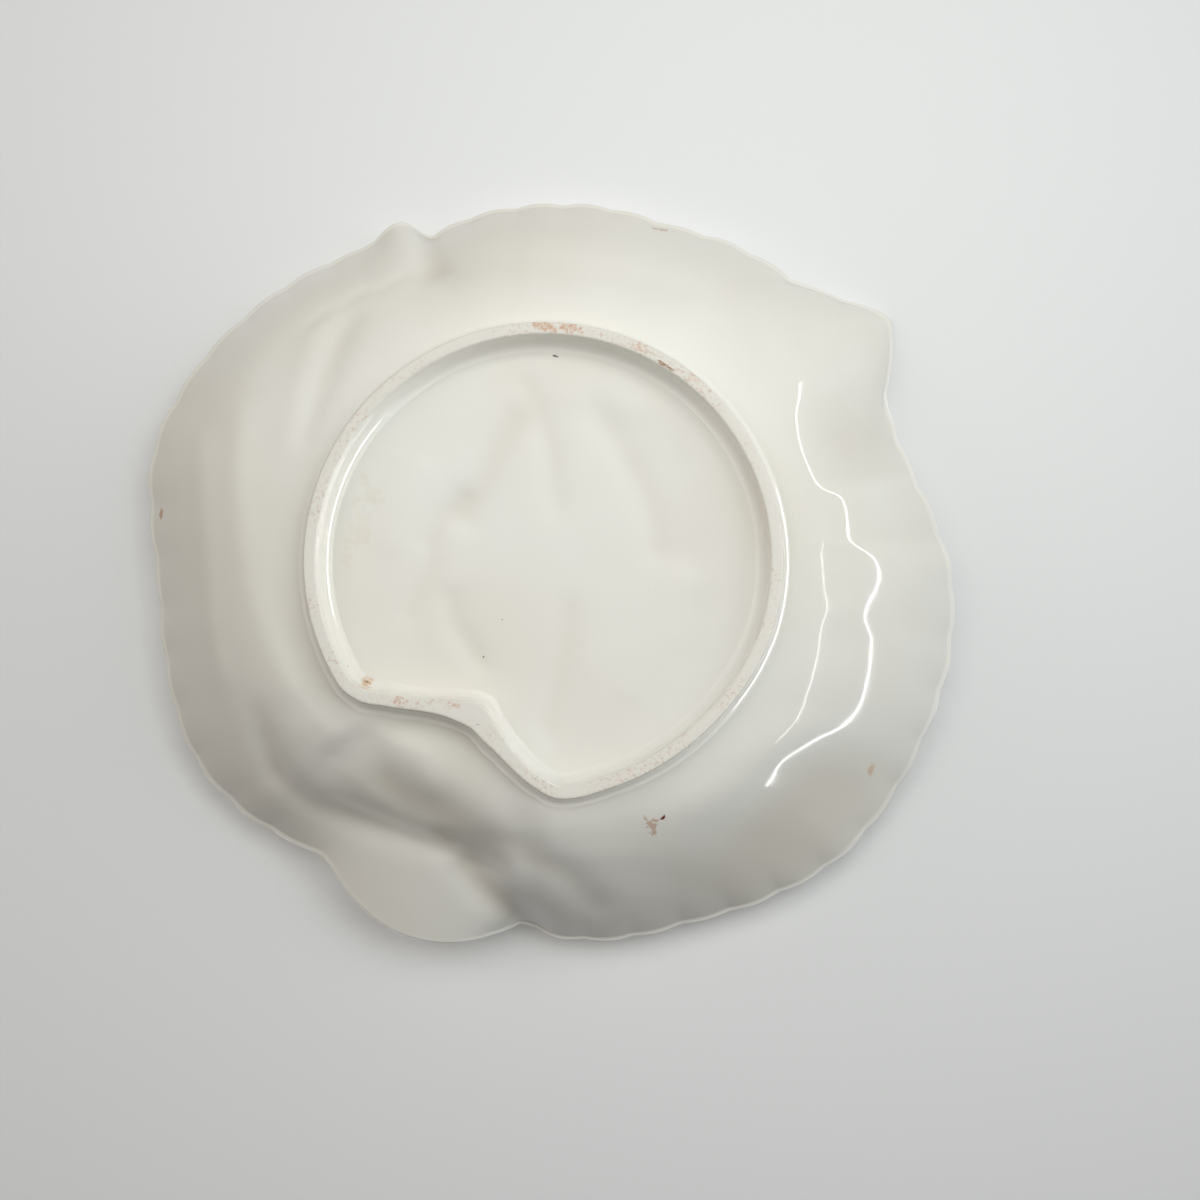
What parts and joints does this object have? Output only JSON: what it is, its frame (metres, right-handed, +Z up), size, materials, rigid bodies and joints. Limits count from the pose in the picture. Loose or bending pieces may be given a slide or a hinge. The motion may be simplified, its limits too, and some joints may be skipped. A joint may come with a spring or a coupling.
{
  "type": "leaf dish",
  "caption": "Shallow leaf-shaped serving dish in ivory glazed earthenware, with a folded wall, a scalloped rim, a flat stalk lobe to hold it by and a notched foot ring.",
  "frame": {"origin": "middle of the dish's outline, on the plane of the foot ring's resting face", "axes": "+Z up out of the dish, -Y towards the stalk lobe, +X to the right as seen from the lobe"},
  "size_m": [0.2504, 0.2294, 0.0451],
  "materials": {
    "ivory_glaze": "glossy ivory glaze over pale earthenware, with small kiln specks",
    "foot_clay": "ivory glaze on the ring's sides, worn bare clay with pinkish specks and rust stains on the resting face"
  },
  "bodies": {
    "root": {"leaf_body": "ivory_glaze", "stalk_lobe": "ivory_glaze", "foot_ring": "foot_clay"}
  },
  "joints": []
}
